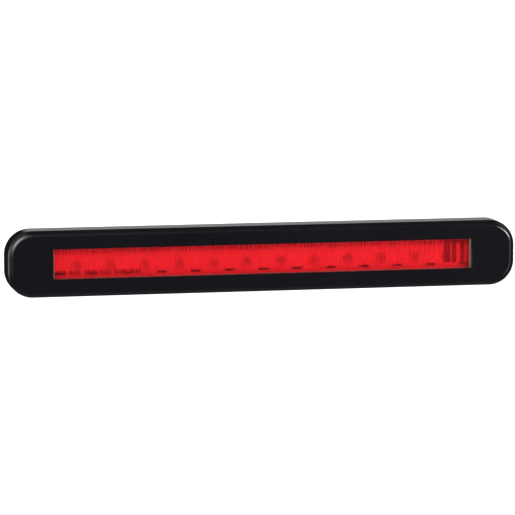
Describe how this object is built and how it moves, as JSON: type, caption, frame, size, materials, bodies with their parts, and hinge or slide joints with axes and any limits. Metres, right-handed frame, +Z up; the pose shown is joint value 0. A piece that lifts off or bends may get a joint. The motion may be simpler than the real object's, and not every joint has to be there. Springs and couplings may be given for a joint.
{
  "type": "third brake light",
  "caption": "Slim black bar lamp with a long red lens over a row of LEDs, a pull-off gloss cover, hidden mounting screws and a rear plug socket.",
  "frame": {"origin": "centre of the mounting gasket's back face, where the lamp meets the bodywork", "axes": "+X along the bar, +Y out of the back towards the bodywork, -Y the way the lens faces, +Z up"},
  "size_m": [0.3, 0.0303, 0.0384],
  "materials": {
    "gloss_black": "high-gloss moulded black",
    "satin_black": "satin moulded black",
    "red_lens": "clear red, fluted on its inner face",
    "silicone": "pale grey silicone",
    "black_foam": "closed-cell foam",
    "black_rubber": "matt black rubber",
    "white_plastic": "bright white moulded reflector",
    "board": "white solder mask with tinned pads",
    "led_case": "white case with a clear dome",
    "chip_black": "moulded black package with tinned feet",
    "ceramic": "tan ceramic with tinned ends",
    "tinned_brass": "tinned brass",
    "stainless": "stainless steel",
    "vent_plastic": "grey-black plastic with a pale membrane"
  },
  "bodies": {
    "lamp": {"base_tray": "satin_black", "board_screw_left": "stainless", "board_screw_right": "stainless", "breather_vent": "vent_plastic", "circuit_board": "board", "connector_seal": "silicone", "connector_socket": "satin_black", "cover_grommet_lower_left": "black_rubber", "cover_grommet_lower_right": "black_rubber", "cover_grommet_upper_left": "black_rubber", "cover_grommet_upper_right": "black_rubber", "current_regulator_1": "chip_black", "current_regulator_2": "chip_black", "current_regulator_3": "chip_black", "filter_capacitor": "ceramic", "led_01": "led_case", "led_02": "led_case", "led_03": "led_case", "led_04": "led_case", "led_05": "led_case", "led_06": "led_case", "led_07": "led_case", "led_08": "led_case", "led_09": "led_case", "led_10": "led_case", "led_11": "led_case", "led_12": "led_case", "lens_seal": "silicone", "mounting_gasket": "black_foam", "mounting_screw_left": "stainless", "mounting_screw_right": "stainless", "polarity_diode": "chip_black", "red_lens": "red_lens", "reflector_strip": "white_plastic", "screw_washer_left": "black_rubber", "screw_washer_right": "black_rubber", "string_resistor_1": "chip_black", "string_resistor_2": "chip_black", "string_resistor_3": "chip_black", "surge_diode": "chip_black", "terminal_blade_1": "tinned_brass", "terminal_blade_2": "tinned_brass", "window_seal": "silicone"},
    "cover": {"cover_bezel": "gloss_black"}
  },
  "joints": [
    {"name": "cover_pull_off", "type": "slide", "parent": "lamp", "child": "cover", "axis": [0, -1, 0], "range_m": [0, 0.03]}
  ]
}
